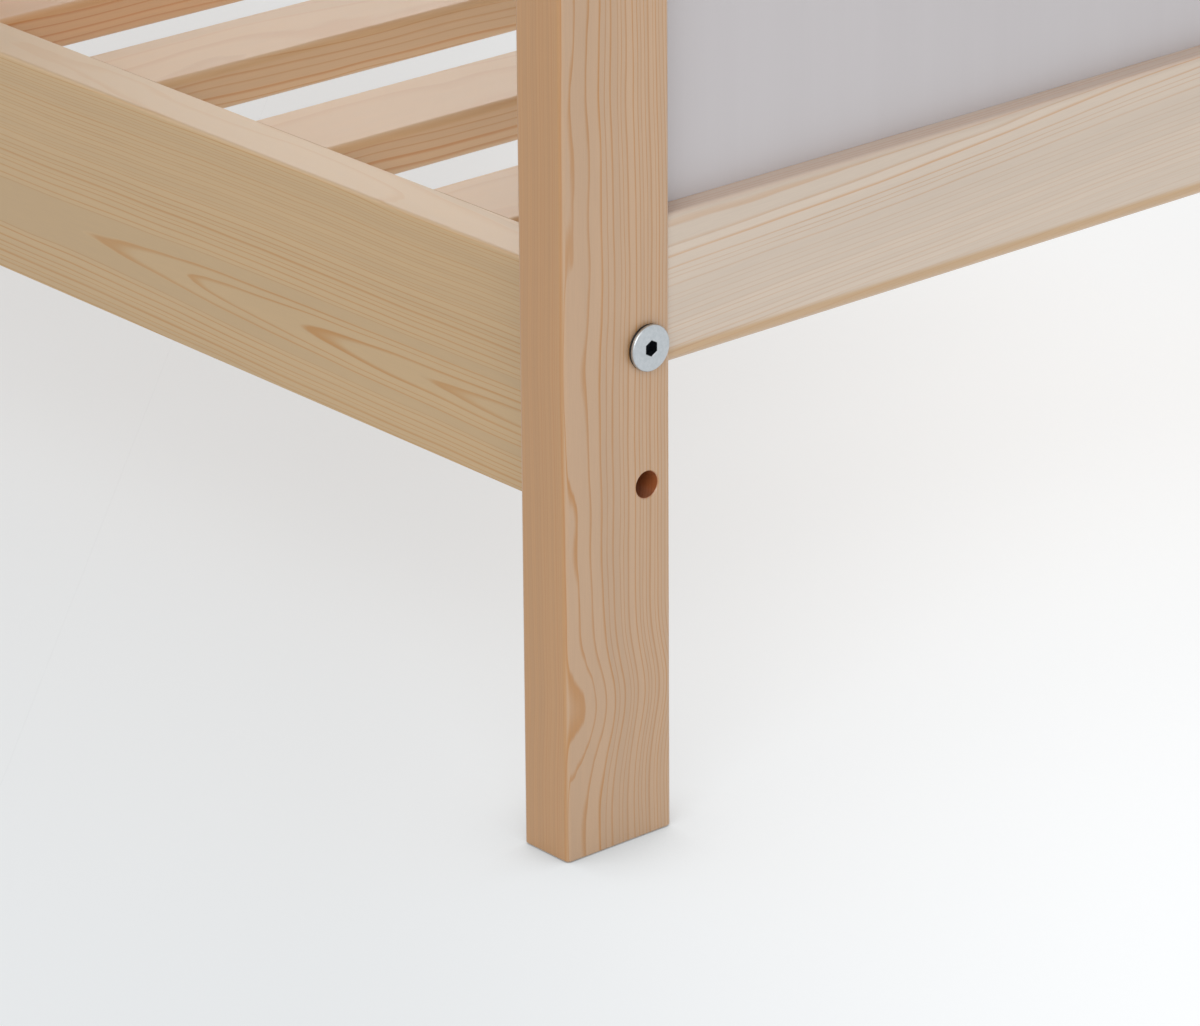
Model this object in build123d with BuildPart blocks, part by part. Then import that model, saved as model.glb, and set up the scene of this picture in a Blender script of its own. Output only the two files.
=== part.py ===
from build123d import *
import os

# Child's bed of solid pine with one long side taken off, sizes in millimetres.
# It stands on Z = 0 with its middle over the origin.
# X runs across the bed, from the open front to the barred back.
# Y runs along the bed, from the right end to the left end as seen from the front.

# Mattress that the bed takes, and the play around it
mattress_length = 1200.0
mattress_width = 600.0
mattress_end_play = 10.0
mattress_side_play = 8.0

# Corner posts
post_thickness = 24.0
post_height = 830.0
post_round = 2.0
post_top_round = 1.5
post_foot_chamfer = 0.8

# Rails of the two ends
end_rail_thickness = 22.0
end_rail_set_in = 1.5
end_rail_height = 55.0
lower_rail_below_base_top = 31.0
rail_top_round = 2.5
rail_underside_round = 4.0

# Painted panel of each end, in grooves
panel_thickness = 4.0
panel_behind_rail_face = 10.4
panel_face_play = 0.1
panel_edge_play = 0.5
groove_depth = 8.0
post_groove_depth = 4.0

# Slatted base
base_top = 207.0
base_rail_thickness = 24.0
base_rail_height = 88.0
base_rail_overhang = 1.0
base_rail_round = 2.5
base_rail_inner_round = 0.3
slat_count = 11
slat_width = 47.0
slat_thickness = 17.0
slat_end_gap = 61.5
slat_top_round = 3.0
slat_underside_round = 1.5
slat_tenon_length = 10.0
slat_tenon_width = 36.0
slat_tenon_thickness = 9.0

# Barred side
side_thickness = 24.0
side_set_in = 1.0
side_clearance = 1.0
bar_count = 13
bar_width = 30.0
bar_thickness = 12.0
bar_round = 4.0
bar_seat_depth = 12.0

# Glued joints
joint_play = 0.1
joint_end_play = 0.5

# Dowels between the posts and the end rails
dowel_diameter = 8.0
dowel_length = 40.0
dowel_chamfer = 1.0
dowel_from_groove = 7.0
dowel_spacing = 14.0

# Connector bolts with barrel nuts
bolt_diameter = 8.0
bolt_length = 80.0
bolt_tip_chamfer = 1.0
head_diameter = 17.0
head_thickness = 2.7
head_chamfer = 0.4
socket_across_flats = 5.0
socket_depth = 4.0
post_hole_diameter = 10.0
post_hole_chamfer = 0.4
rail_hole_diameter = 9.0
rail_hole_end_play = 6.0
thread_play = 0.1
nut_diameter = 12.0
nut_length = 18.0
nut_inset = 45.0
nut_play = 0.2
nut_end_play = 0.5
nut_slot_width = 1.4
nut_slot_depth = 1.6

# Bolt lines of the base, below its top in use, and the two other heights
bolt_below_base_top = 21.0
lower_position_drop = 51.5
upper_position_rise = 200.0

# Pins under the barred side
pin_diameter = 8.0
pin_length = 35.0
pin_in_rail = 20.0
pin_play = 0.5
pin_end_play = 1.0

# Lengths that follow from the sizes above
inner_length = mattress_length + mattress_end_play
base_width = mattress_width + mattress_side_play
base_inner_width = base_width - 2 * base_rail_thickness
overall_length = inner_length + 2 * post_thickness
side_space = side_set_in + side_thickness + side_clearance
overall_width = base_width + 2 * side_space
post_width = side_space + base_rail_thickness - base_rail_overhang
end_rail_length = overall_width - 2 * post_width
panel_width = end_rail_length + 2 * post_groove_depth - 2 * panel_edge_play

# Places across the bed, for the back half
post_x = overall_width / 2 - post_width / 2
post_inner_x = overall_width / 2 - post_width
side_x = overall_width / 2 - side_set_in - side_thickness / 2
base_rail_x = base_width / 2 - base_rail_thickness / 2
base_inner_x = base_inner_width / 2

# Places along the bed, for the left half
post_y = overall_length / 2 - post_thickness / 2
end_y = overall_length / 2
inner_y = inner_length / 2
end_rail_y = end_y - end_rail_set_in - end_rail_thickness / 2
panel_y = end_y - end_rail_set_in - panel_behind_rail_face - panel_thickness / 2

# Heights
lower_rail_underside = base_top - lower_rail_below_base_top
lower_rail_top = lower_rail_underside + end_rail_height
upper_rail_underside = post_height - end_rail_height
lower_rail_mid = lower_rail_underside + end_rail_height / 2
upper_rail_mid = upper_rail_underside + end_rail_height / 2
panel_foot = lower_rail_top - groove_depth
groove_top = upper_rail_underside + groove_depth
panel_top = groove_top - panel_edge_play
groove_width = panel_thickness + 2 * panel_face_play
slat_mid = base_top - slat_thickness / 2
base_bolt_z = base_top - bolt_below_base_top
base_hole_heights = [
    base_bolt_z - lower_position_drop,
    base_bolt_z,
    base_bolt_z + upper_position_rise,
]
lower_dowel_heights = [
    panel_foot - dowel_from_groove,
    panel_foot - dowel_from_groove - dowel_spacing,
]
upper_dowel_heights = [
    groove_top + dowel_from_groove,
    groove_top + dowel_from_groove + dowel_spacing,
]
dowel_heights = lower_dowel_heights + upper_dowel_heights

# Depths of blind holes
dowel_hole_depth = dowel_length / 2 + joint_end_play
slat_mortise_depth = slat_tenon_length + joint_end_play
bar_mortise_depth = bar_seat_depth + joint_end_play
rail_hole_depth = bolt_length - post_thickness + rail_hole_end_play
nut_hole_depth = base_rail_thickness / 2 + nut_length / 2 + nut_end_play
side_nut_hole_depth = side_thickness / 2 + nut_length / 2 + nut_end_play
pin_post_hole_depth = pin_length - pin_in_rail + pin_end_play

FRONT, BACK = -1, 1
RIGHT, LEFT = -1, 1
side_names = {FRONT: "front", BACK: "back"}
end_names = {RIGHT: "right", LEFT: "left"}


def spread(count, width, end_gap, length):
    """Middles of equal pieces in a row, the outer ones end_gap from the ends of length"""
    first = -length / 2 + end_gap + width / 2
    pitch = (length - 2 * end_gap - width) / (count - 1)
    return [first + i * pitch for i in range(count)]


slat_places = spread(slat_count, slat_width, slat_end_gap, inner_length)
bar_gap = (inner_length - bar_count * bar_width) / (bar_count + 1)
bar_places = spread(bar_count, bar_width, bar_gap, inner_length)


def along_bed(y):
    """Plane square to the bed's length, its own x along X and its own y along Z"""
    return Plane.XZ.offset(-y)


def across_bed(x):
    """Plane square to the bed's width, its own x along Y and its own y along Z"""
    return Plane.YZ.offset(x)


def level(z):
    """Plane at a height, its own x and y along X and Y"""
    return Plane.XY.offset(z)


def finish(piece, label):
    """Name a piece and write it to its own file"""
    piece.part.label = label
    export_step(piece.part, f"parts/{label}.step")


def make_post(side, end):
    """Corner post with its bolt holes, dowel holes, panel groove and pin hole"""
    outer_y = end * end_y
    with BuildPart() as post:
        with BuildSketch() as section:
            with Locations((side * post_x, end * post_y)):
                Rectangle(post_width, post_thickness)
            fillet(section.vertices(), post_round)
        extrude(amount=post_height)
        fillet(post.faces().sort_by(Axis.Z)[-1].edges(), post_top_round)
        chamfer(post.faces().sort_by(Axis.Z)[0].edges(), post_foot_chamfer)
        with BuildSketch(level(panel_foot)):
            with Locations((side * post_inner_x, end * panel_y)):
                Rectangle(2 * post_groove_depth, groove_width)
        extrude(amount=groove_top - panel_foot, mode=Mode.SUBTRACT)
        with BuildSketch(along_bed(end * post_y)):
            with Locations(*[(side * base_rail_x, z) for z in base_hole_heights]):
                Circle(post_hole_diameter / 2)
            with Locations((side * side_x, upper_rail_mid)):
                Circle(post_hole_diameter / 2)
        extrude(amount=post_thickness, both=True, mode=Mode.SUBTRACT)
        mouths = post.edges().filter_by(GeomType.CIRCLE).filter_by_position(Axis.Y, outer_y - 0.1, outer_y + 0.1)
        chamfer(mouths, post_hole_chamfer)
        with BuildSketch(across_bed(side * post_inner_x)):
            with Locations(*[(end * end_rail_y, z) for z in dowel_heights]):
                Circle((dowel_diameter + joint_play) / 2)
        extrude(amount=side * dowel_hole_depth, mode=Mode.SUBTRACT)
        with BuildSketch(along_bed(end * inner_y)):
            with Locations((side * side_x, lower_rail_mid)):
                Circle((pin_diameter + pin_play) / 2)
        extrude(amount=-end * pin_post_hole_depth, mode=Mode.SUBTRACT)
    return post


def make_end_rail(end, underside, groove_z, dowel_rows):
    """Rail across one end, with the panel groove at groove_z and dowel holes in both ends"""
    with BuildPart() as rail:
        with BuildSketch(across_bed(0)) as section:
            with Locations((end * end_rail_y, underside + end_rail_height / 2)):
                Rectangle(end_rail_thickness, end_rail_height)
            fillet(section.vertices().group_by(Axis.Y)[-1], rail_top_round)
            fillet(section.vertices().group_by(Axis.Y)[0], rail_underside_round)
        extrude(amount=end_rail_length / 2, both=True)
        with BuildSketch(across_bed(0)):
            with Locations((end * panel_y, groove_z)):
                Rectangle(groove_width, 2 * groove_depth)
        extrude(amount=end_rail_length / 2, both=True, mode=Mode.SUBTRACT)
        for side in (FRONT, BACK):
            with BuildSketch(across_bed(side * end_rail_length / 2)):
                with Locations(*[(end * end_rail_y, z) for z in dowel_rows]):
                    Circle((dowel_diameter + joint_play) / 2)
            extrude(amount=-side * dowel_hole_depth, mode=Mode.SUBTRACT)
    return rail


def make_panel(end):
    """Thin painted panel that stands in the lower rail's groove"""
    with BuildPart() as panel:
        with BuildSketch(level(panel_foot)):
            with Locations((0, end * panel_y)):
                Rectangle(panel_width, panel_thickness)
        extrude(amount=panel_top - panel_foot)
    return panel


def make_end_dowels(end):
    """The eight glued dowels of one end frame"""
    with BuildPart() as dowels:
        for side in (FRONT, BACK):
            with BuildSketch(across_bed(side * post_inner_x)):
                with Locations(*[(end * end_rail_y, z) for z in dowel_heights]):
                    Circle(dowel_diameter / 2)
            extrude(amount=dowel_length / 2, both=True)
        chamfer(dowels.edges().filter_by(GeomType.CIRCLE), dowel_chamfer)
    return dowels


def make_base_rail(side):
    """Side rail of the base, with slat mortises, barrel nut holes and bolt holes"""
    outermost = 0 if side == FRONT else -1
    with BuildPart() as rail:
        with BuildSketch(along_bed(0)) as section:
            with Locations((side * base_rail_x, base_top - base_rail_height / 2)):
                Rectangle(base_rail_thickness, base_rail_height)
            top_corners = section.vertices().group_by(Axis.Y)[-1].sort_by(Axis.X)
            underside_corners = section.vertices().group_by(Axis.Y)[0]
            fillet(top_corners[outermost], base_rail_round)
            fillet(underside_corners, base_rail_round)
            inner_corner = section.vertices().group_by(Axis.Y)[-1].sort_by(Axis.X)[-1 - outermost]
            fillet(inner_corner, base_rail_inner_round)
        extrude(amount=inner_y, both=True)
        with BuildSketch(across_bed(side * base_inner_x)):
            with Locations(*[(y, slat_mid) for y in slat_places]):
                SlotOverall(slat_tenon_width + joint_play, slat_tenon_thickness + joint_play)
        extrude(amount=side * slat_mortise_depth, mode=Mode.SUBTRACT)
        with BuildSketch(across_bed(side * base_inner_x)):
            with Locations(*[(end * (inner_y - nut_inset), base_bolt_z) for end in (RIGHT, LEFT)]):
                Circle((nut_diameter + nut_play) / 2)
        extrude(amount=side * nut_hole_depth, mode=Mode.SUBTRACT)
        for end in (RIGHT, LEFT):
            with BuildSketch(along_bed(end * inner_y)):
                with Locations((side * base_rail_x, base_bolt_z)):
                    Circle(rail_hole_diameter / 2)
            extrude(amount=end * rail_hole_depth, mode=Mode.SUBTRACT)
    return rail


def make_slat(y):
    """Slat across the base with a stub tenon at each end"""
    with BuildPart() as slat:
        with BuildSketch(across_bed(0)) as section:
            with Locations((y, slat_mid)):
                Rectangle(slat_width, slat_thickness)
            fillet(section.vertices().group_by(Axis.Y)[-1], slat_top_round)
            fillet(section.vertices().group_by(Axis.Y)[0], slat_underside_round)
        extrude(amount=base_inner_x, both=True)
        for side in (FRONT, BACK):
            with BuildSketch(across_bed(side * base_inner_x)):
                with Locations((y, slat_mid)):
                    SlotOverall(slat_tenon_width, slat_tenon_thickness)
            extrude(amount=side * slat_tenon_length)
    return slat


def make_side_rail(underside, seat_z, seat_direction):
    """Rail of the barred side, with the seats of its bars cut from seat_z in seat_direction"""
    with BuildPart() as rail:
        with BuildSketch(along_bed(0)) as section:
            with Locations((side_x, underside + end_rail_height / 2)):
                Rectangle(side_thickness, end_rail_height)
            fillet(section.vertices().group_by(Axis.Y)[-1], rail_top_round)
            fillet(section.vertices().group_by(Axis.Y)[0], rail_underside_round)
        extrude(amount=inner_y, both=True)
        with BuildSketch(level(seat_z)):
            with Locations(*[(side_x, y) for y in bar_places]):
                RectangleRounded(bar_thickness + joint_play, bar_width + joint_play, bar_round)
        extrude(amount=seat_direction * bar_mortise_depth, mode=Mode.SUBTRACT)
    return rail


def make_bar(y):
    """Upright bar whose ends are let into the two side rails"""
    foot = lower_rail_top - bar_seat_depth
    head = upper_rail_underside + bar_seat_depth
    with BuildPart() as bar:
        with BuildSketch(level(foot)):
            with Locations((side_x, y)):
                RectangleRounded(bar_thickness, bar_width, bar_round)
        extrude(amount=head - foot)
    return bar


def make_bolts(places):
    """Connector bolts through the posts; each place is its X, its Z and the end it goes in at"""
    with BuildPart() as bolts:
        for x, z, end in places:
            with BuildSketch(along_bed(end * end_y)):
                with Locations((x, z)):
                    Circle(head_diameter / 2)
            extrude(amount=-end * head_thickness)
            with BuildSketch(along_bed(end * end_y)):
                with Locations((x, z)):
                    Circle(bolt_diameter / 2)
            extrude(amount=end * bolt_length)
        rims = bolts.edges().filter_by(lambda e: e.geom_type == GeomType.CIRCLE and e.radius > bolt_diameter)
        outer_rims = [e for e in rims if abs(e.center().Y) > end_y + head_thickness / 2]
        chamfer(outer_rims, head_chamfer)
        tips = [e for e in bolts.edges().filter_by(GeomType.CIRCLE) if abs(e.center().Y) < inner_y]
        chamfer(tips, bolt_tip_chamfer)
        for x, z, end in places:
            with BuildSketch(along_bed(end * (end_y + head_thickness))):
                with Locations((x, z)):
                    RegularPolygon(socket_across_flats / 2, 6, major_radius=False, rotation=30)
            extrude(amount=end * socket_depth, mode=Mode.SUBTRACT)
    return bolts


def make_barrel_nuts(places):
    """Barrel nuts; each place is its X, Y and Z, with the screwdriver slot towards the bed's middle"""
    with BuildPart() as nuts:
        for x, y, z in places:
            with BuildSketch(across_bed(x)):
                with Locations((y, z)):
                    Circle(nut_diameter / 2)
            extrude(amount=nut_length / 2, both=True)
            with BuildSketch(along_bed(y)):
                with Locations((x, z)):
                    Circle((bolt_diameter + thread_play) / 2)
            extrude(amount=nut_diameter, both=True, mode=Mode.SUBTRACT)
            inward = -1 if x > 0 else 1
            with BuildSketch(across_bed(x + inward * nut_length / 2)):
                with Locations((y, z)):
                    Rectangle(nut_slot_width, nut_diameter)
            extrude(amount=-inward * nut_slot_depth, mode=Mode.SUBTRACT)
    return nuts


def make_side_pins():
    """The two pins that hold the barred side's lower rail in the back posts"""
    with BuildPart() as pins:
        for end in (RIGHT, LEFT):
            with BuildSketch(along_bed(end * (inner_y - pin_in_rail))):
                with Locations((side_x, lower_rail_mid)):
                    Circle(pin_diameter / 2)
            extrude(amount=-end * pin_length)
        chamfer(pins.edges().filter_by(GeomType.CIRCLE), dowel_chamfer)
    return pins


os.makedirs("parts", exist_ok=True)

# The two ends: posts, rails, panel and dowels
for end in (RIGHT, LEFT):
    end_name = end_names[end]
    for side in (FRONT, BACK):
        finish(make_post(side, end), f"post_{side_names[side]}_{end_name}")
    lower = make_end_rail(end, lower_rail_underside, lower_rail_top, lower_dowel_heights)
    finish(lower, f"{end_name}_end_lower_rail")
    upper = make_end_rail(end, upper_rail_underside, upper_rail_underside, upper_dowel_heights)
    finish(upper, f"{end_name}_end_upper_rail")
    finish(make_panel(end), f"{end_name}_end_panel")
    finish(make_end_dowels(end), f"{end_name}_end_dowels")

# The slatted base
for side in (FRONT, BACK):
    finish(make_base_rail(side), f"base_rail_{side_names[side]}")
for number, y in enumerate(slat_places, start=1):
    finish(make_slat(y), f"slat_{number:02d}")

# The barred back side: the upper rail is bolted, the lower rail is held by pins
with BuildPart() as side_upper_rail:
    add(make_side_rail(upper_rail_underside, upper_rail_underside, 1))
    with BuildSketch(across_bed(side_x - side_thickness / 2)):
        with Locations(*[(end * (inner_y - nut_inset), upper_rail_mid) for end in (RIGHT, LEFT)]):
            Circle((nut_diameter + nut_play) / 2)
    extrude(amount=side_nut_hole_depth, mode=Mode.SUBTRACT)
    for end in (RIGHT, LEFT):
        with BuildSketch(along_bed(end * inner_y)):
            with Locations((side_x, upper_rail_mid)):
                Circle(rail_hole_diameter / 2)
        extrude(amount=end * rail_hole_depth, mode=Mode.SUBTRACT)
finish(side_upper_rail, "side_upper_rail")

with BuildPart() as side_lower_rail:
    add(make_side_rail(lower_rail_underside, lower_rail_top, -1))
    for end in (RIGHT, LEFT):
        with BuildSketch(along_bed(end * inner_y)):
            with Locations((side_x, lower_rail_mid)):
                Circle((pin_diameter + joint_play) / 2)
        extrude(amount=end * (pin_in_rail + joint_end_play), mode=Mode.SUBTRACT)
finish(side_lower_rail, "side_lower_rail")

for number, y in enumerate(bar_places, start=1):
    finish(make_bar(y), f"side_bar_{number:02d}")
finish(make_side_pins(), "side_lower_pins")

# Bolts and barrel nuts
corners = [(side, end) for side in (FRONT, BACK) for end in (RIGHT, LEFT)]
base_bolt_places = [(side * base_rail_x, base_bolt_z, end) for side, end in corners]
base_nut_places = [(side * base_rail_x, end * (inner_y - nut_inset), base_bolt_z) for side, end in corners]
side_bolt_places = [(side_x, upper_rail_mid, end) for end in (RIGHT, LEFT)]
side_nut_places = [(side_x, end * (inner_y - nut_inset), upper_rail_mid) for end in (RIGHT, LEFT)]
finish(make_bolts(base_bolt_places), "base_bolts")
finish(make_barrel_nuts(base_nut_places), "base_barrel_nuts")
finish(make_bolts(side_bolt_places), "side_bolts")
finish(make_barrel_nuts(side_nut_places), "side_barrel_nuts")
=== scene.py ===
import math

import bmesh
import bpy
from mathutils import Euler, Matrix, Vector


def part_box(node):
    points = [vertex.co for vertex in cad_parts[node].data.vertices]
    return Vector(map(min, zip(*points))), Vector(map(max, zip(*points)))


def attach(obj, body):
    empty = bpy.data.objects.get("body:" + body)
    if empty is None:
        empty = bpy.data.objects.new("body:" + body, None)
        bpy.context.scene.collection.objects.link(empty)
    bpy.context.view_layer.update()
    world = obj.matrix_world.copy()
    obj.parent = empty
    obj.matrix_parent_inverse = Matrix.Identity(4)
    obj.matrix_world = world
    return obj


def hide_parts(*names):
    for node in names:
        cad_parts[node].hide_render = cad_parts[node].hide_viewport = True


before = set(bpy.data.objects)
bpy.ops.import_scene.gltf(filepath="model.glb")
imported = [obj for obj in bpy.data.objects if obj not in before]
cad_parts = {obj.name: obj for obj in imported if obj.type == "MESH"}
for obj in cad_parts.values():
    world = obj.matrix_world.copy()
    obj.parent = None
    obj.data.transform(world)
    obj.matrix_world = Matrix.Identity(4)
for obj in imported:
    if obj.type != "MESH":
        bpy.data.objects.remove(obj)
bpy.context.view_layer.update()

# The bed stands on Z = 0 with its middle over the origin, in metres.
# X runs across it, from the open front to the barred back, and Y along it, from the right end to the left.

SLAT_COUNT = 11
BAR_COUNT = 13
MM = 0.001

# Painted shade on the faces that look across the bed, painted light on tops, tints of lower edges, and
# painted shade on the walls of bores
POST_SIDE_PAINTED_SHADE = (0.92, 0.76, 0.49)
RAIL_SIDE_PAINTED_SHADE = (0.77, 0.77, 0.69)
RAIL_TOP_PAINTED_LIGHT = (1.03, 1.07, 1.12)
END_RAIL_TOP_PAINTED_LIGHT = (1.10, 1.05, 1.05)
LOWER_EDGE_TINT = (0.87, 0.69, 0.45)
BORE_PAINTED_SHADE = (0.84, 0.50, 0.42)

# The posts' bores in millimetres: those of the base and those of the barred side
BORE_RADIUS, BORE_EDGE = 5.0, 0.15
BASE_BORE_X, BASE_BORE_HEIGHTS = 292, (134.5, 386.0)
SIDE_BORE_X, SIDE_BORE_HEIGHT = 317, 802.5

# Turns of the grain, from the pattern's own X to the way a board runs
ALONG_X = (0.0, 0.0, 0.0)
ALONG_Y = (0.0, 0.0, math.radians(90))
ALONG_Z = (0.0, math.radians(-90), 0.0)


def plug(tree, socket, value):
    """Set a socket to a number or colour, or link another node's output to it"""
    if isinstance(value, bpy.types.NodeSocket):
        tree.links.new(value, socket)
    else:
        socket.default_value = value


def work_out(tree, operation, *values):
    """Output of a Math node"""
    node = tree.nodes.new("ShaderNodeMath")
    node.operation = operation
    for socket, value in zip(node.inputs, values):
        plug(tree, socket, value)
    return node.outputs[0]


def work_out_vector(tree, operation, *values, output=0):
    """Output of a Vector Math node"""
    node = tree.nodes.new("ShaderNodeVectorMath")
    node.operation = operation
    for socket, value in zip(node.inputs, values):
        plug(tree, socket, value)
    return node.outputs[output]


def step_between(tree, value, start, end, low=0.0, high=1.0):
    """Smooth step of a value from low to high, between start and end"""
    node = tree.nodes.new("ShaderNodeMapRange")
    node.interpolation_type = "SMOOTHSTEP"
    given = {"Value": value, "From Min": start, "From Max": end, "To Min": low, "To Max": high}
    for label, one in given.items():
        plug(tree, node.inputs[label], one)
    return node.outputs["Result"]


def noise(tree, place, seed, scale, detail=2.0, roughness=0.5, output="Fac"):
    """Noise at a place, one pattern for each seed"""
    node = tree.nodes.new("ShaderNodeTexNoise")
    node.noise_dimensions = "4D"
    given = {"Vector": place, "W": seed, "Scale": scale, "Detail": detail, "Roughness": roughness}
    for label, one in given.items():
        plug(tree, node.inputs[label], one)
    return node.outputs[output]


def blend_colours(tree, factor, first, second):
    """Colour between two"""
    node = tree.nodes.new("ShaderNodeMix")
    node.data_type = "RGBA"
    plug(tree, node.inputs["Factor"], factor)
    plug(tree, node.inputs[6], first)
    plug(tree, node.inputs[7], second)
    return node.outputs[2]


def new_group(name, inputs, outputs):
    """Empty shader group with its sockets; each input is its name, kind and value"""
    group = bpy.data.node_groups.new(name, "ShaderNodeTree")
    for label, kind, value in inputs:
        socket = group.interface.new_socket(label, in_out="INPUT", socket_type=kind)
        if value is not None:
            socket.default_value = value
    for label, kind in outputs:
        group.interface.new_socket(label, in_out="OUTPUT", socket_type=kind)
    return group, group.nodes.new("NodeGroupInput").outputs, group.nodes.new("NodeGroupOutput").inputs


# How noise patterns stretch with a place in millimetres, along the trunk and across it
FINE_STRETCH = (0.03, 0.25, 0.25)
PATCH_STRETCH = (0.010, 0.05, 0.05)
STREAK_STRETCH = (0.004, 0.045, 0.045)
FIBRE_STRETCH = (0.07, 2.6, 2.6)
MIDDLE_GREY = (0.5, 0.5, 0.5)

# The trunk's wandering: the size of its noise and what that noise is worth
WANDER_SCALE, WANDER_WORTH, WANDER_FULL_LENGTH = 0.010, 4.0, 100.0
FINE_REACH = (0.0, 0.5, 0.5)

# Good and bad years: how fast they follow each other, and by how many rings they shift the next ones
YEARS_SCALE, YEARS_REACH = 0.45, 1.4

# Late wood as shares of a year, and the least strength of a ring and of a patch of rings
LATE_START, LATE_FULL, LATE_END = 0.66, 0.92, 0.93
LEAST_RING, LEAST_PATCH = 0.55, 0.65


def make_growth_rings():
    """Growth rings of a sawn pine board: Place is in millimetres from the pith, its X along the trunk"""
    group, given, put_out = new_group(
        "growth_rings",
        [
            ("Place", "NodeSocketVector", None),
            ("Seed", "NodeSocketFloat", 0.0),
            ("Ring Width", "NodeSocketFloat", 2.5),
            ("Narrowing", "NodeSocketFloat", 0.01),
            ("Wander", "NodeSocketFloat", 6.0),
            ("Wander Length", "NodeSocketFloat", 260.0),
            ("Swirl Place", "NodeSocketFloat", 0.0),
            ("Swirl Length", "NodeSocketFloat", 30.0),
            ("Swirl", "NodeSocketVector", (0.0, 0.0, 0.0)),
            ("Fade Radius", "NodeSocketFloat", 400.0),
        ],
        [("Late Wood", "NodeSocketFloat"), ("Tone", "NodeSocketFloat"), ("Fibre", "NodeSocketFloat")],
    )
    place, seed = given["Place"], given["Seed"]

    # The trunk wanders: slow noise that stretches along the grain moves the rings sideways
    along = work_out(group, "DIVIDE", WANDER_FULL_LENGTH, given["Wander Length"])
    stretch = group.nodes.new("ShaderNodeCombineXYZ")
    plug(group, stretch.inputs["X"], along)
    plug(group, stretch.inputs["Y"], 1.0)
    plug(group, stretch.inputs["Z"], 1.0)
    slow_place = work_out_vector(group, "MULTIPLY", place, stretch.outputs[0])
    slow = noise(group, slow_place, seed, WANDER_SCALE, 2.0, 0.45, output="Color")
    centred = work_out_vector(group, "SUBTRACT", slow, MIDDLE_GREY)
    reach = work_out(group, "MULTIPLY", given["Wander"], WANDER_WORTH)
    drift = group.nodes.new("ShaderNodeVectorMath")
    drift.operation = "SCALE"
    plug(group, drift.inputs[0], centred)
    plug(group, drift.inputs["Scale"], reach)
    moved = work_out_vector(group, "ADD", place, drift.outputs[0])

    # A swirl bends the grain round one place along the board
    split = group.nodes.new("ShaderNodeSeparateXYZ")
    plug(group, split.inputs[0], place)
    from_swirl = work_out(group, "SUBTRACT", split.outputs["X"], given["Swirl Place"])
    share = work_out(group, "DIVIDE", from_swirl, given["Swirl Length"])
    share_squared = work_out(group, "MULTIPLY", share, share)
    bell = work_out(group, "EXPONENT", work_out(group, "MULTIPLY", share_squared, -1.0))
    bent = group.nodes.new("ShaderNodeVectorMath")
    bent.operation = "SCALE"
    plug(group, bent.inputs[0], given["Swirl"])
    plug(group, bent.inputs["Scale"], bell)
    moved = work_out_vector(group, "ADD", moved, bent.outputs[0])

    # Fine unevenness of each ring's line
    fine_place = work_out_vector(group, "MULTIPLY", place, FINE_STRETCH)
    fine = noise(group, fine_place, seed, 1.0, 2.0, 0.5, output="Color")
    fine = work_out_vector(group, "SUBTRACT", fine, MIDDLE_GREY)
    moved = work_out_vector(group, "ADD", moved, work_out_vector(group, "MULTIPLY", fine, FINE_REACH))

    # Rings from the pith out, each narrower than the last
    across = work_out_vector(group, "MULTIPLY", moved, (0.0, 1.0, 1.0))
    radius = work_out_vector(group, "LENGTH", across, output=1)
    narrower = work_out(group, "ADD", 1.0, work_out(group, "MULTIPLY", radius, given["Narrowing"]))
    age = work_out(group, "MULTIPLY", work_out(group, "DIVIDE", radius, given["Ring Width"]), narrower)
    seasons = group.nodes.new("ShaderNodeTexNoise")
    seasons.noise_dimensions = "1D"
    plug(group, seasons.inputs["W"], work_out(group, "ADD", age, work_out(group, "MULTIPLY", seed, 7.0)))
    plug(group, seasons.inputs["Scale"], YEARS_SCALE)
    plug(group, seasons.inputs["Detail"], 1.0)
    age = work_out(group, "ADD", age, work_out(group, "MULTIPLY", seasons.outputs["Fac"], YEARS_REACH))
    ring = work_out(group, "FLOOR", age)
    season = work_out(group, "FRACT", age)
    chance = group.nodes.new("ShaderNodeTexWhiteNoise")
    chance.noise_dimensions = "1D"
    plug(group, chance.inputs["W"], work_out(group, "ADD", ring, work_out(group, "MULTIPLY", seed, 13.0)))
    luck = chance.outputs["Value"]

    # Late wood darkens slowly through the year and stops sharply
    rise = step_between(group, season, LATE_START, LATE_FULL)
    fall = step_between(group, season, LATE_END, 1.0, 1.0, 0.0)
    strength = step_between(group, luck, -0.2, 1.0, LEAST_RING, 1.0)
    old = work_out(group, "DIVIDE", radius, given["Fade Radius"])
    old_squared = work_out(group, "MULTIPLY", old, old)
    fade = work_out(group, "DIVIDE", 1.0, work_out(group, "ADD", 1.0, old_squared))
    patch_place = work_out_vector(group, "MULTIPLY", place, PATCH_STRETCH)
    patchy = noise(group, patch_place, seed, 1.0, 2.0, 0.5)
    patches = step_between(group, patchy, 0.25, 0.7, LEAST_PATCH, 1.0)
    late = work_out(group, "MULTIPLY", rise, fall)
    for factor in (strength, fade, patches):
        late = work_out(group, "MULTIPLY", late, factor)
    plug(group, put_out["Late Wood"], late)

    # Tone of each ring and of wide streaks, about a middle of 0.5
    wide_place = work_out_vector(group, "MULTIPLY", place, STREAK_STRETCH)
    wide = noise(group, wide_place, seed, 1.0, 3.0, 0.55)
    from_streaks = work_out(group, "MULTIPLY", wide, 0.75)
    from_rings = work_out(group, "MULTIPLY", luck, 0.25)
    plug(group, put_out["Tone"], work_out(group, "ADD", from_streaks, from_rings))

    # Fibres: short fine streaks along the grain
    fibre_place = work_out_vector(group, "MULTIPLY", place, FIBRE_STRETCH)
    fibre = noise(group, fibre_place, seed, 1.0, 3.0, 0.65)
    plug(group, put_out["Fibre"], fibre)
    return group


GROWTH_RINGS = make_growth_rings()

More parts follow.
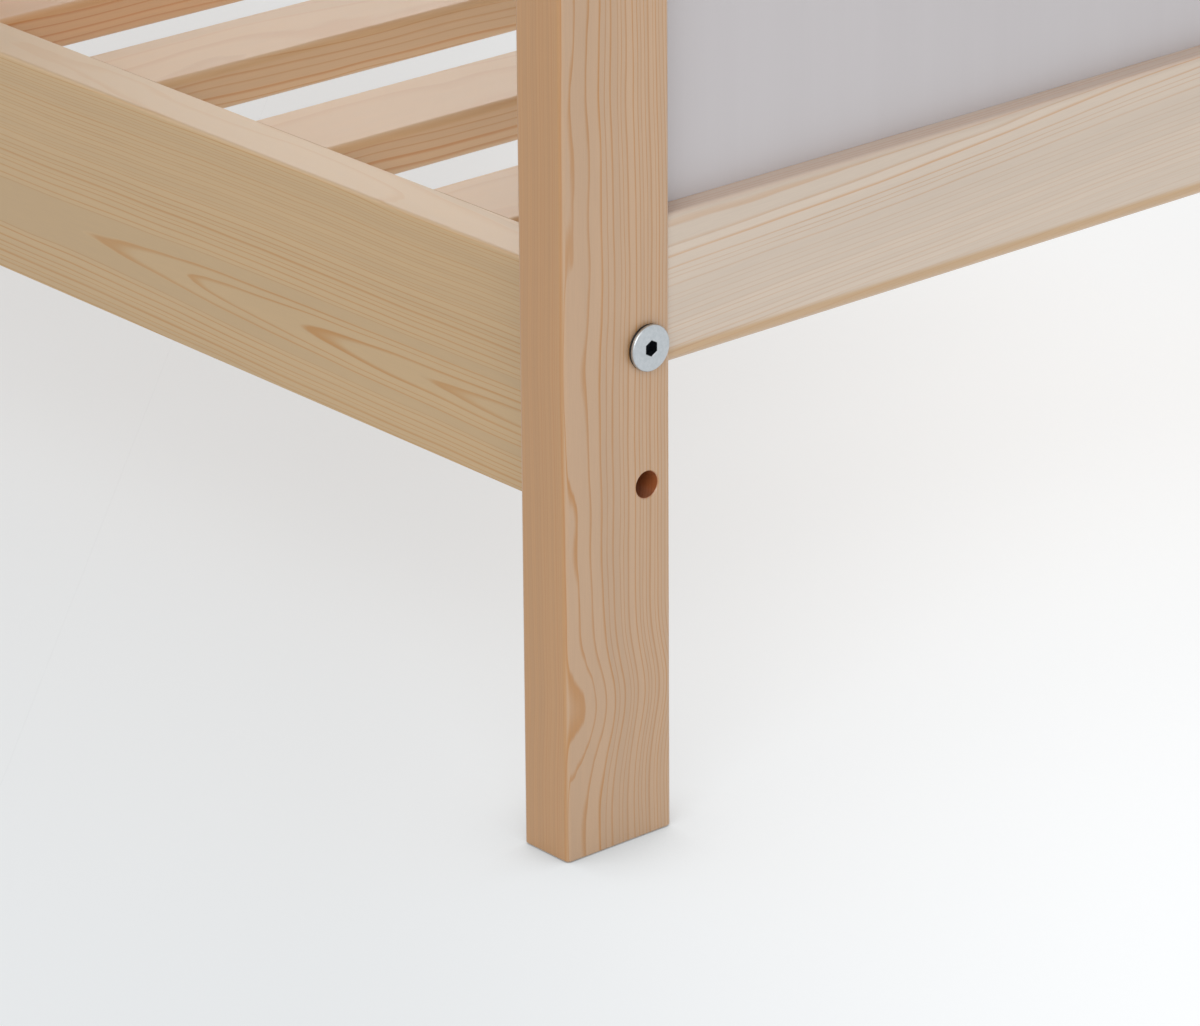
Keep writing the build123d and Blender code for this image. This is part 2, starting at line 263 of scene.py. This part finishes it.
PLAIN = (1.0, 1.0, 1.0)

# Shades of wood from darkest to lightest, and of its end grain
TONE_SHADES = (0.93, 1.05)
FIBRE_SHADES = (0.965, 1.03)
END_GRAIN_SHADE = 0.86

# A darker lower edge is full up to the first height over the board's underside and gone at the second
EDGE_FULL, EDGE_GONE = 4.6, 7.0

# Clear lacquer
WOOD_ROUGHNESS = (0.42, 0.50)
LACQUER_WEIGHT, LACQUER_ROUGHNESS = 0.9, 0.4
RELIEF_DEPTH = 0.05


def facing(tree, where, direction):
    """How much a face looks one way"""
    return work_out_vector(tree, "DOT_PRODUCT", where.outputs["Normal"], direction, output=1)


def tint_where(tree, mask, colour, tint):
    """Colour multiplied by a tint where the mask is 1"""
    return blend_colours(tree, mask, colour, work_out_vector(tree, "MULTIPLY", colour, tint))


def bore_walls(tree, place, bores):
    """Mask of the walls of bores along Y; each bore is its X and Z in millimetres"""
    flat = work_out_vector(tree, "MULTIPLY", place, (1.0, 0.0, 1.0))
    nearest = 1.0
    for x, z in bores:
        from_middle = work_out_vector(tree, "SUBTRACT", flat, (x * MM, 0.0, z * MM))
        away = work_out_vector(tree, "LENGTH", from_middle, output=1)
        nearest = work_out(tree, "MINIMUM", nearest, away)
    return step_between(tree, nearest, BORE_RADIUS * MM, (BORE_RADIUS + BORE_EDGE) * MM, 1.0, 0.0)


def add_relief(tree, surface, height, strength):
    """Fine relief of a surface"""
    relief = tree.nodes.new("ShaderNodeBump")
    relief.inputs["Strength"].default_value = strength
    relief.inputs["Distance"].default_value = RELIEF_DEPTH * MM
    plug(tree, relief.inputs["Height"], height)
    plug(tree, surface.inputs["Normal"], relief.outputs[0])


def new_material(name):
    """Material with its shader tree, its surface and its texture coordinates"""
    material = bpy.data.materials.new(name)
    material.use_nodes = True
    tree = material.node_tree
    return material, tree, tree.nodes["Principled BSDF"], tree.nodes.new("ShaderNodeTexCoord")


def pine(name, pith, grain, seed, pale, late, tilt=(0.0, 0.0), side_painted_shade=PLAIN, top_painted_light=PLAIN,
         edge_lines=1.0, top_lines=1.0, low_edge=None, bores=(), **rings):
    """Clear-lacquered pine.

    pith is a point on the trunk's middle line in millimetres, and tilt is that line's turn in degrees.
    edge_lines and top_lines say how strong the rings are on faces across the bed and on tops.
    low_edge is the height of the board's underside, where its lower edge is darker.
    """
    material, tree, surface, where = new_material(name)
    board = tree.nodes.new("ShaderNodeMapping")
    board.vector_type = "TEXTURE"
    plug(tree, board.inputs["Vector"], where.outputs["Object"])
    board.inputs["Location"].default_value = [v * MM for v in pith]
    turn = Euler(grain, "XYZ").to_matrix()
    lean = Matrix.Rotation(math.radians(tilt[0]), 3, "Y") @ Matrix.Rotation(math.radians(tilt[1]), 3, "Z")
    board.inputs["Rotation"].default_value = (turn @ lean).to_euler("XYZ")
    board.inputs["Scale"].default_value = (MM, MM, MM)

    pattern = tree.nodes.new("ShaderNodeGroup")
    pattern.node_tree = GROWTH_RINGS
    plug(tree, pattern.inputs["Place"], board.outputs[0])
    pattern.inputs["Seed"].default_value = seed
    for label, value in rings.items():
        pattern.inputs[label.replace("_", " ").title()].default_value = value

    # Masks of the end grain, of the faces across the bed and of the tops
    trunk = turn @ Vector((1.0, 0.0, 0.0))
    end_grain = step_between(tree, work_out(tree, "ABSOLUTE", facing(tree, where, trunk)), 0.6, 0.95)
    across = work_out(tree, "ABSOLUTE", facing(tree, where, (1.0, 0.0, 0.0)))
    sideways = step_between(tree, across, 0.5, 0.9)
    upward = step_between(tree, facing(tree, where, (0.0, 0.0, 1.0)), 0.5, 0.9)

    lines = pattern.outputs["Late Wood"]
    lines = work_out(tree, "MULTIPLY", lines, step_between(tree, sideways, 0.0, 1.0, 1.0, edge_lines))
    lines = work_out(tree, "MULTIPLY", lines, step_between(tree, upward, 0.0, 1.0, 1.0, top_lines))
    ringed = blend_colours(tree, lines, (*pale, 1.0), (*late, 1.0))
    tone = step_between(tree, pattern.outputs["Tone"], 0.2, 0.8, *TONE_SHADES)
    fibre = step_between(tree, pattern.outputs["Fibre"], 0.25, 0.75, *FIBRE_SHADES)
    # End grain drinks more lacquer and is darker
    drunk = step_between(tree, end_grain, 0.0, 1.0, 1.0, END_GRAIN_SHADE)
    shade = work_out(tree, "MULTIPLY", work_out(tree, "MULTIPLY", tone, fibre), drunk)
    coloured = tree.nodes.new("ShaderNodeVectorMath")
    coloured.operation = "SCALE"
    plug(tree, coloured.inputs[0], ringed)
    plug(tree, coloured.inputs["Scale"], shade)
    # Painted shade: faces that look across the bed are darkened as the light fell on that side
    tinted = tint_where(tree, sideways, coloured.outputs[0], side_painted_shade)
    # Painted light: tops are lightened like the lacquer's sheen
    tinted = tint_where(tree, upward, tinted, top_painted_light)
    if low_edge is not None:
        level = work_out_vector(tree, "DOT_PRODUCT", where.outputs["Object"], (0.0, 0.0, 1.0), output=1)
        band = step_between(tree, level, low_edge + EDGE_FULL * MM, low_edge + EDGE_GONE * MM, 1.0, 0.0)
        tinted = tint_where(tree, band, tinted, LOWER_EDGE_TINT)
    # Painted shade darkens the walls of the bores
    if bores:
        tinted = tint_where(tree, bore_walls(tree, where.outputs["Object"], bores), tinted, BORE_PAINTED_SHADE)
    plug(tree, surface.inputs["Base Color"], tinted)

    roughness = step_between(tree, pattern.outputs["Fibre"], 0.3, 0.7, *WOOD_ROUGHNESS)
    plug(tree, surface.inputs["Roughness"], roughness)
    surface.inputs["Coat Weight"].default_value = LACQUER_WEIGHT
    surface.inputs["Coat Roughness"].default_value = LACQUER_ROUGHNESS
    from_fibres = work_out(tree, "MULTIPLY", pattern.outputs["Fibre"], 0.6)
    from_rings = work_out(tree, "MULTIPLY", pattern.outputs["Late Wood"], 0.4)
    add_relief(tree, surface, work_out(tree, "ADD", from_fibres, from_rings), 0.25)
    return material


def finish_node(name, material):
    """Give a construction piece its finish"""
    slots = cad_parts[name].data.materials
    slots.clear()
    slots.append(material)


# Colours of the wood: pale early wood and orange-brown late wood
POST_PALE, POST_LATE = (0.46, 0.287, 0.164), (0.39, 0.160, 0.018)
SIDE_RAIL_PALE, SIDE_RAIL_LATE = (0.60, 0.395, 0.208), (0.52, 0.235, 0.035)
END_RAIL_PALE, END_RAIL_LATE = (0.56, 0.455, 0.360), (0.46, 0.205, 0.045)
SLAT_PALE, SLAT_LATE = (0.605, 0.378, 0.192), (0.50, 0.205, 0.035)
DOWEL_PALE, DOWEL_LATE = (0.50, 0.32, 0.19), (0.44, 0.26, 0.14)
WARM_SLATS, WARM_TINT = (4, 9), (0.98, 0.86, 0.76)


def dress_posts():
    """The four corner posts, with wide rings at their outer corners and a swirl near their feet"""
    for side, x in (("front", -1), ("back", 1)):
        for end, y in (("right", -1), ("left", 1)):
            number = 2 + x + (y + 1) / 2
            bores = [(x * BASE_BORE_X, height) for height in BASE_BORE_HEIGHTS]
            bores.append((x * SIDE_BORE_X, SIDE_BORE_HEIGHT))
            finish_node(f"post_{side}_{end}", pine(
                f"pine_post_{side}_{end}", pith=(x * 330, y * (577 + 3 * number), 150), grain=ALONG_Z,
                seed=3.1 + 5 * number, pale=POST_PALE, late=POST_LATE,
                side_painted_shade=POST_SIDE_PAINTED_SHADE, edge_lines=0.45, bores=bores,
                ring_width=2.2, narrowing=0.008, wander=1.6, wander_length=130.0,
                swirl_place=-93.0, swirl_length=19.0, swirl=(0.0, -1.2 * y, -3.0 * x)))


def dress_end_rails():
    """Rails across the two ends"""
    for end, y in (("right", -1), ("left", 1)):
        for level, z in (("lower", 245), ("upper", 845)):
            seed = 20 + 7 * (y + 1) + z / 300
            finish_node(f"{end}_end_{level}_rail", pine(
                f"pine_{end}_end_{level}_rail", pith=(0, y * 600, z), grain=ALONG_X,
                seed=seed, pale=END_RAIL_PALE, late=END_RAIL_LATE, tilt=(-3.0, 0.3),
                top_painted_light=END_RAIL_TOP_PAINTED_LIGHT, low_edge=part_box(f"{end}_end_{level}_rail")[0].z,
                ring_width=3.2, narrowing=0.010, wander=2.5, wander_length=350.0, fade_radius=42.0))


def dress_base():
    """The base's two side rails and its slats"""
    for side, x in (("front", -1), ("back", 1)):
        finish_node(f"base_rail_{side}", pine(
            f"pine_base_rail_{side}", pith=(x * 288, 0, 147), grain=ALONG_Y,
            seed=41.0 + x, pale=SIDE_RAIL_PALE, late=SIDE_RAIL_LATE, tilt=(0.0, -1.2),
            side_painted_shade=RAIL_SIDE_PAINTED_SHADE, top_painted_light=RAIL_TOP_PAINTED_LIGHT, top_lines=0.35,
            ring_width=3.2, narrowing=0.013, wander=2.5, wander_length=200.0))
    for number in range(1, SLAT_COUNT + 1):
        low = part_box(f"slat_{number:02d}")[0] / MM
        pith = (0, low.y + 8 + 6 * (number % 3), low.z - 50 - 9 * (number % 4))
        warmth = WARM_TINT if number in WARM_SLATS else PLAIN
        pale = [a * b for a, b in zip(SLAT_PALE, warmth)]
        late = [a * b for a, b in zip(SLAT_LATE, warmth)]
        finish_node(f"slat_{number:02d}", pine(
            f"pine_slat_{number:02d}", pith=pith, grain=ALONG_X, seed=50.0 + 3 * number,
            pale=pale, late=late, tilt=(0.4, 0.6), top_lines=0.4,
            ring_width=5.5, narrowing=0.004, wander=3.5, wander_length=130.0))


def dress_barred_side():
    """Rails and bars of the back side"""
    for level, z in (("lower", 250), ("upper", 770)):
        finish_node(f"side_{level}_rail", pine(
            f"pine_side_{level}_rail", pith=(345, 0, z), grain=ALONG_Y,
            seed=90.0 + z / 100, pale=SIDE_RAIL_PALE, late=SIDE_RAIL_LATE, tilt=(0.5, 0.6),
            ring_width=2.8, narrowing=0.012, wander=5.0, wander_length=320.0))
    for number in range(1, BAR_COUNT + 1):
        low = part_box(f"side_bar_{number:02d}")[0] / MM
        pith = (300 - 6 * (number % 4), low.y + 5 * (number % 7), 500)
        finish_node(f"side_bar_{number:02d}", pine(
            f"pine_side_bar_{number:02d}", pith=pith, grain=ALONG_Z, seed=120.0 + 3 * number,
            pale=SLAT_PALE, late=SLAT_LATE, tilt=(0.5, 0.4),
            ring_width=2.4, narrowing=0.010, wander=5.0, wander_length=300.0))


# Paint and metal, from their darker to their lighter spots, and their roughness
PAINT_COLOURS = (0.494, 0.465, 0.472, 1.0), (0.512, 0.483, 0.490, 1.0)
PAINT_ROUGHNESS = (0.50, 0.56)
ZINC_COLOURS = (0.475, 0.505, 0.525, 1.0), (0.55, 0.575, 0.595, 1.0)
ZINC_ROUGHNESS = (0.30, 0.42)
# Zinc darkened as painted shade, for sockets and the head's foot
PAINTED_SHADE_COLOURS = (0.045, 0.055, 0.070, 1.0), (0.075, 0.085, 0.100, 1.0)
PAINTED_SHADE_ROUGHNESS = (0.35, 0.5)
ROLLER_STRETCH = (90.0, 90.0, 3.0)


def make_grey_paint():
    """Warm light grey satin paint on thin board"""
    material, tree, surface, where = new_material("grey_paint")
    streak_place = work_out_vector(tree, "MULTIPLY", where.outputs["Object"], ROLLER_STRETCH)
    streak = noise(tree, streak_place, 2.0, 1.0, 3.0, 0.6)
    cloud = noise(tree, where.outputs["Object"], 5.0, 7.0, 2.0, 0.5)
    half_streak = work_out(tree, "MULTIPLY", streak, 0.5)
    half_cloud = work_out(tree, "MULTIPLY", cloud, 0.5)
    shade = step_between(tree, work_out(tree, "ADD", half_streak, half_cloud), 0.3, 0.7)
    plug(tree, surface.inputs["Base Color"], blend_colours(tree, shade, *PAINT_COLOURS))
    plug(tree, surface.inputs["Roughness"], step_between(tree, cloud, 0.3, 0.7, *PAINT_ROUGHNESS))
    peel = noise(tree, where.outputs["Object"], 9.0, 900.0, 2.0, 0.5)
    add_relief(tree, surface, peel, 0.15)
    return material


def make_zinc():
    """Satin zinc plate on steel"""
    material, tree, surface, where = new_material("zinc_plate")
    spangle = noise(tree, where.outputs["Object"], 3.0, 900.0, 3.0, 0.6)
    shade = step_between(tree, spangle, 0.3, 0.7)
    plug(tree, surface.inputs["Base Color"], blend_colours(tree, shade, *ZINC_COLOURS))
    surface.inputs["Metallic"].default_value = 1.0
    plug(tree, surface.inputs["Roughness"], step_between(tree, spangle, 0.3, 0.7, *ZINC_ROUGHNESS))
    return material


def make_zinc_painted_shade():
    """Zinc darkened as painted shade, in the depth of a socket and where a head meets the wood"""
    material, tree, surface, where = new_material("zinc_painted_shade")
    shade_mottle = noise(tree, where.outputs["Object"], 6.0, 1200.0, 2.0, 0.5)
    plug(tree, surface.inputs["Base Color"], blend_colours(tree, shade_mottle, *PAINTED_SHADE_COLOURS))
    surface.inputs["Metallic"].default_value = 1.0
    plug(tree, surface.inputs["Roughness"], step_between(tree, shade_mottle, 0.3, 0.7, *PAINTED_SHADE_ROUGHNESS))
    return material


# Connector bolts in millimetres: the head's edge and the shank, as radius and height over the post's face
HEAD_RADIUS, HEAD_THICKNESS = 8.5, 2.7
FACE_RADIUS = 7.75
BOLT_PROFILE = (
    (8.10, 2.62), (8.36, 2.42), (8.5, 2.05), (8.5, 1.45), (8.36, 1.35), (8.36, 0.35), (8.05, 0.12),
    (7.6, 0.0), (4.0, 0.0), (4.0, -79.0), (3.0, -80.0),
)
# Under this height the head's side is darkened as painted shade
PAINTED_SHADE_HEIGHT = 1.45
SOCKET_CORNER_RADIUS = 3.15
# The socket's lead-in and wall, as share of its size and height
SOCKET_PROFILE = ((0.94, 2.50), (0.92, -1.30))
SOCKET_SIDES = 6
TURN_SEGMENTS = 48
SHARP_ANGLE = math.radians(35)
# How near two measures of the mesh count as the same
NEAR = 0.01


def next_ring(mesh, ring, height, radius=None, share=1.0):
    """Carry a ring of edges on to another height, at a radius or as a share of its size"""
    drawn = bmesh.ops.extrude_edge_only(mesh, edges=ring)["geom"]
    points = {item for item in drawn if isinstance(item, bmesh.types.BMVert)}
    for point in points:
        flat = Vector((point.co.x, point.co.y, 0.0))
        flat = flat.normalized() * radius if radius else flat * share
        point.co = (flat.x, flat.y, height)
    return [item for item in drawn if isinstance(item, bmesh.types.BMEdge) and set(item.verts) <= points]


def make_bolt_mesh():
    """One bolt in millimetres, its head up: flat head with a rounded edge, hexagon socket and shank"""
    mesh = bmesh.new()
    top = Matrix.Translation((0.0, 0.0, HEAD_THICKNESS))
    bmesh.ops.create_circle(
        mesh, cap_ends=False, radius=SOCKET_CORNER_RADIUS, segments=SOCKET_SIDES, matrix=top)
    bmesh.ops.subdivide_edges(mesh, edges=mesh.edges[:], cuts=TURN_SEGMENTS // SOCKET_SIDES - 1)
    socket = mesh.edges[:]
    bmesh.ops.create_circle(mesh, cap_ends=False, radius=FACE_RADIUS, segments=TURN_SEGMENTS, matrix=top)
    rim = [edge for edge in mesh.edges if edge.verts[0].co.xy.length > SOCKET_CORNER_RADIUS + 1.0]
    bmesh.ops.bridge_loops(mesh, edges=rim + socket)
    ring = rim
    for radius, height in BOLT_PROFILE:
        ring = next_ring(mesh, ring, height, radius=radius)
    bmesh.ops.edgeloop_fill(mesh, edges=ring)
    ring, size = socket, 1.0
    for share, height in SOCKET_PROFILE:
        ring = next_ring(mesh, ring, height, share=share / size)
        size = share
    bmesh.ops.edgeloop_fill(mesh, edges=ring)
    bmesh.ops.recalc_face_normals(mesh, faces=mesh.faces[:])
    lead_in, bottom = SOCKET_PROFILE[0][1], SOCKET_PROFILE[-1][1]
    for face in mesh.faces:
        heights = [point.co.z for point in face.verts]
        within = all(point.co.xy.length < SOCKET_CORNER_RADIUS - NEAR for point in face.verts)
        in_socket = within and max(heights) <= lead_in + NEAR and min(heights) >= bottom - NEAR
        beside = all(point.co.xy.length > FACE_RADIUS for point in face.verts)
        by_the_wood = beside and max(heights) <= PAINTED_SHADE_HEIGHT + NEAR
        # Faces in the socket and round the head's foot take the zinc darkened as painted shade
        face.material_index = 1 if in_socket or by_the_wood else 0
        face.smooth = True
    for edge in mesh.edges:
        edge.smooth = edge.calc_face_angle(0.0) < SHARP_ANGLE
    return mesh


def make_bolts(name, node, zinc, zinc_painted_shade):
    """All bolts of one node, where the node has them"""
    low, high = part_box(node)
    reach = HEAD_RADIUS * MM
    middle = (low.z + high.z) / 2
    seat = high.y - HEAD_THICKNESS * MM
    shape = bpy.data.meshes.new(name)
    mesh = bmesh.new()
    for x in sorted({round(low.x + reach, 5), round(high.x - reach, 5)}):
        for end in (-1, 1):
            turn = Matrix(((-end, 0, 0), (0, 0, 1), (0, end, 0))).transposed().to_4x4()
            bolt = make_bolt_mesh()
            place = Matrix.Translation((x, end * seat, middle)) @ turn @ Matrix.Scale(MM, 4)
            bmesh.ops.transform(bolt, matrix=place, verts=bolt.verts[:])
            bolt.to_mesh(shape)
            bolt.free()
            mesh.from_mesh(shape)
    mesh.to_mesh(shape)
    mesh.free()
    shape.materials.append(zinc)
    shape.materials.append(zinc_painted_shade)
    piece = bpy.data.objects.new(name, shape)
    bpy.context.scene.collection.objects.link(piece)
    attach(piece, "root")
    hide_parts(node)


def dress_all():
    """Finish of every construction piece"""
    dress_posts()
    dress_end_rails()
    dress_base()
    dress_barred_side()
    paint = make_grey_paint()
    zinc = make_zinc()
    for end in ("right", "left"):
        finish_node(f"{end}_end_panel", paint)
        finish_node(f"{end}_end_dowels", pine(
            f"beech_{end}_end_dowels", pith=(0, 560 if end == "left" else -560, 500), grain=ALONG_X,
            seed=7.0, pale=DOWEL_PALE, late=DOWEL_LATE, ring_width=1.2))
    for name in ("base_barrel_nuts", "side_barrel_nuts", "side_lower_pins"):
        finish_node(name, zinc)
    zinc_painted_shade = make_zinc_painted_shade()
    make_bolts("base_bolt_heads_and_shanks", "base_bolts", zinc, zinc_painted_shade)
    make_bolts("side_bolt_heads_and_shanks", "side_bolts", zinc, zinc_painted_shade)


# The floor in metres: directions to the photograph's right and front, how far along each the glow changes,
# and the glow there
TO_THE_RIGHT, RIGHT_REACH, RIGHT_GLOW = (0.758, -0.652, 0.0), (0.05, 0.42), (0.565, 0.755)
TO_THE_FRONT, FRONT_REACH, FRONT_GLOW = (-0.652, -0.758, 0.0), (0.35, 0.75), (0.0, 0.025)
FLOOR_COLOUR = (0.29, 0.32, 0.34, 1.0)
FLOOR_HALF_WIDTH = 60.0
# Painted contact shadow: how near things dim the floor's glow, and the share of it that stays
PAINTED_SHADOW_DISTANCE, PAINTED_SHADOW_GLOW = 0.06, (0.2, 1.0)


def make_floor():
    """Pale studio floor that keeps the shadow and brightens from the photograph's left to its right"""
    sheet = bpy.data.meshes.new("floor")
    mesh = bmesh.new()
    bmesh.ops.create_grid(mesh, x_segments=1, y_segments=1, size=FLOOR_HALF_WIDTH)
    mesh.to_mesh(sheet)
    mesh.free()
    floor = bpy.data.objects.new("floor", sheet)
    bpy.context.scene.collection.objects.link(floor)
    material = bpy.data.materials.new("floor_white")
    material.use_nodes = True
    tree = material.node_tree
    tree.nodes.clear()
    output = tree.nodes.new("ShaderNodeOutputMaterial")
    where = tree.nodes.new("ShaderNodeTexCoord")
    # The glow is painted light: brighter towards the right and a little towards the front; it also lights
    # the bed from below
    right = work_out_vector(tree, "DOT_PRODUCT", where.outputs["Object"], TO_THE_RIGHT, output=1)
    front = work_out_vector(tree, "DOT_PRODUCT", where.outputs["Object"], TO_THE_FRONT, output=1)
    glow_right = step_between(tree, right, *RIGHT_REACH, *RIGHT_GLOW)
    glow_front = step_between(tree, front, *FRONT_REACH, *FRONT_GLOW)
    # Painted contact shadow: the glow dims close to the bed
    painted_contact_shadow = tree.nodes.new("ShaderNodeAmbientOcclusion")
    painted_contact_shadow.samples = 8
    painted_contact_shadow.inputs["Distance"].default_value = PAINTED_SHADOW_DISTANCE
    open_share = step_between(tree, painted_contact_shadow.outputs["AO"], 0.0, 0.95, *PAINTED_SHADOW_GLOW)
    glow = work_out(tree, "MULTIPLY", work_out(tree, "ADD", glow_right, glow_front), open_share)
    lit = tree.nodes.new("ShaderNodeBsdfDiffuse")
    lit.inputs["Color"].default_value = FLOOR_COLOUR
    shine = tree.nodes.new("ShaderNodeEmission")
    shine.inputs["Color"].default_value = (1.0, 1.0, 1.0, 1.0)
    plug(tree, shine.inputs["Strength"], glow)
    total = tree.nodes.new("ShaderNodeAddShader")
    plug(tree, total.inputs[0], lit.outputs[0])
    plug(tree, total.inputs[1], shine.outputs[0])
    plug(tree, output.inputs["Surface"], total.outputs[0])
    sheet.materials.append(material)


# The studio's light: what walls and ceiling give, where the ceiling begins, and how white both look
WALL_LIGHT, CEILING_LIGHT = 1.0, 0.35
WALL_TOP, CEILING_EDGE = 0.2, 0.7
SEEN_LIGHT = 0.95


def make_surroundings():
    """White studio: bright walls and a dimmer ceiling light the bed; seen or mirrored, all is white"""
    world = bpy.data.worlds.new("studio")
    bpy.context.scene.world = world
    world.use_nodes = True
    tree = world.node_tree
    background = tree.nodes["Background"]
    background.inputs["Color"].default_value = (0.98, 0.99, 1.0, 1.0)
    path = tree.nodes.new("ShaderNodeLightPath")
    seen = work_out(tree, "MAXIMUM", path.outputs["Is Camera Ray"], path.outputs["Is Glossy Ray"])
    seen = work_out(tree, "MAXIMUM", seen, path.outputs["Is Transmission Ray"])
    where = tree.nodes.new("ShaderNodeTexCoord")
    split = tree.nodes.new("ShaderNodeSeparateXYZ")
    plug(tree, split.inputs[0], where.outputs["Generated"])
    light = step_between(tree, split.outputs["Z"], WALL_TOP, CEILING_EDGE, WALL_LIGHT, CEILING_LIGHT)
    plug(tree, background.inputs["Strength"], step_between(tree, seen, 0.0, 1.0, light, SEEN_LIGHT))


def make_softbox(name, place, towards, width, height, watts):
    """Rectangular soft lamp that isn't seen itself"""
    lamp = bpy.data.lights.new(name, "AREA")
    lamp.shape = "RECTANGLE"
    lamp.size = width
    lamp.size_y = height
    lamp.energy = watts
    holder = bpy.data.objects.new(name, lamp)
    bpy.context.scene.collection.objects.link(holder)
    holder.location = place
    holder.rotation_euler = (Vector(towards) - Vector(place)).to_track_quat("-Z", "Y").to_euler()
    holder.visible_camera = False


# The camera in metres and degrees, as fitted to the photograph's edges
CAMERA_PLACE = (-1.59915, -2.12383, 0.93470)
CAMERA_HEADING, CAMERA_DOWN, CAMERA_ROLL = 49.31, 22.21, -0.411
LENS_LENGTH, SENSOR_WIDTH = 184.1, 36.0


def make_camera():
    """Long lens from the right front, as the bed was photographed"""
    heading = Matrix.Rotation(math.radians(CAMERA_HEADING - 90), 4, "Z")
    tilt = Matrix.Rotation(math.radians(90 - CAMERA_DOWN), 4, "X")
    roll = Matrix.Rotation(math.radians(CAMERA_ROLL), 4, "Z")
    lens = bpy.data.cameras.new("camera")
    lens.sensor_width = SENSOR_WIDTH
    lens.lens = LENS_LENGTH
    lens.clip_end = 200.0
    camera = bpy.data.objects.new("camera", lens)
    bpy.context.scene.collection.objects.link(camera)
    camera.matrix_world = Matrix.Translation(CAMERA_PLACE) @ heading @ tilt @ roll
    bpy.context.scene.camera = camera


dress_all()
make_floor()
make_surroundings()
make_softbox("front_light", (-2.6, -2.6, 2.2), (-0.2, -0.4, 0.2), 2.5, 2.5, 60.0)
make_softbox("back_light", (2.6, 3.0, 1.7), (0.0, 0.0, 0.2), 3.0, 2.0, 40.0)
make_camera()
bpy.context.scene.view_settings.view_transform = "Standard"
